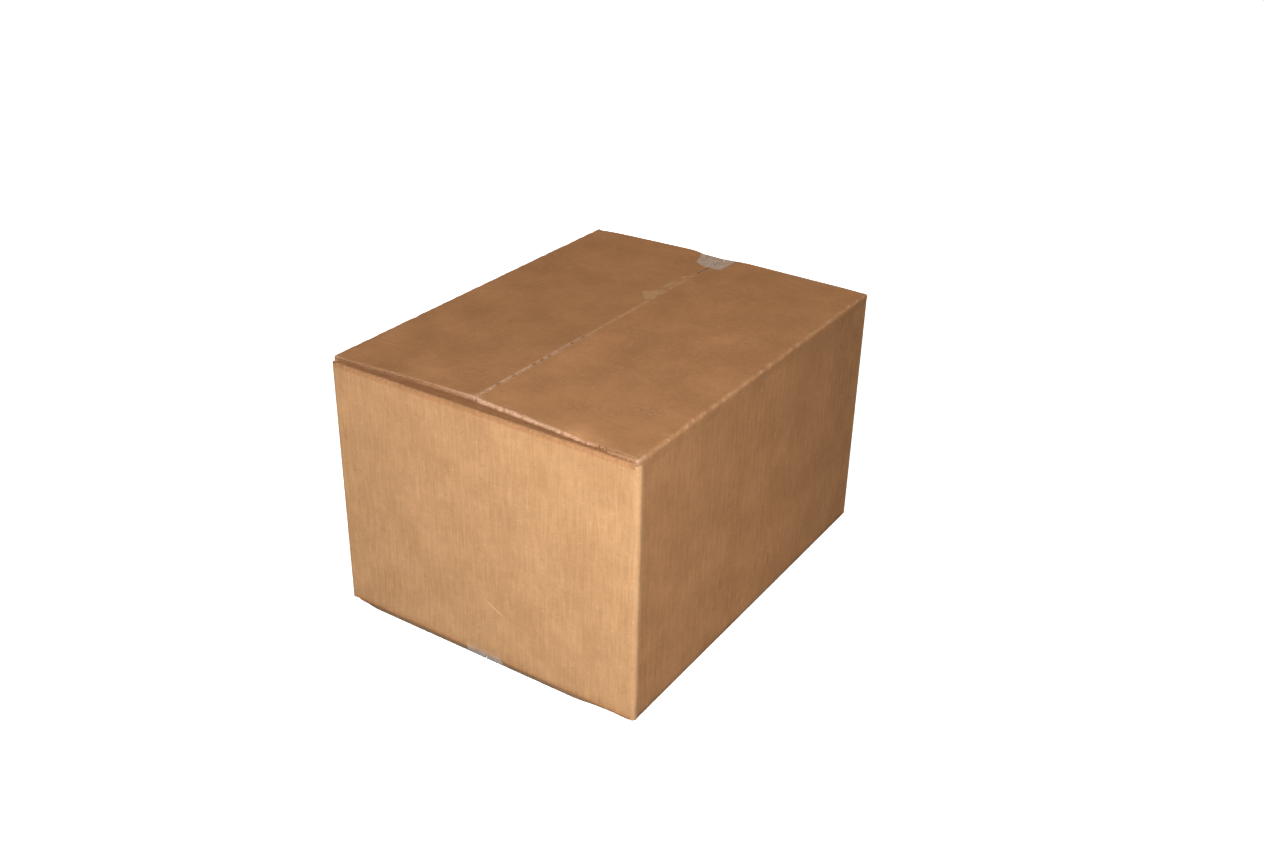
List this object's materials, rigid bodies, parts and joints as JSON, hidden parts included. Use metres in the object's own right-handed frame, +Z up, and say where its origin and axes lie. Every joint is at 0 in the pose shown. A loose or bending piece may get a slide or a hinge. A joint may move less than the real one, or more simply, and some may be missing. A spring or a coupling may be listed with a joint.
{
  "type": "closed cardboard box",
  "caption": "Closed kraft corrugated carton with slotted flaps meeting at a centre seam, clear tape underneath and over the back end of the top seam.",
  "frame": {"origin": "on the floor, under the middle of the box", "axes": "+Z up, +Y along the long side from the front short panel to the back one, +X to the right along the front short panel"},
  "size_m": [0.291, 0.3722, 0.239],
  "materials": {
    "kraft_board": "matte",
    "clear_tape": "gloss"
  },
  "bodies": {
    "root": {"carton": "kraft_board", "bottom_tape": "clear_tape", "top_tape": "clear_tape"}
  },
  "joints": []
}
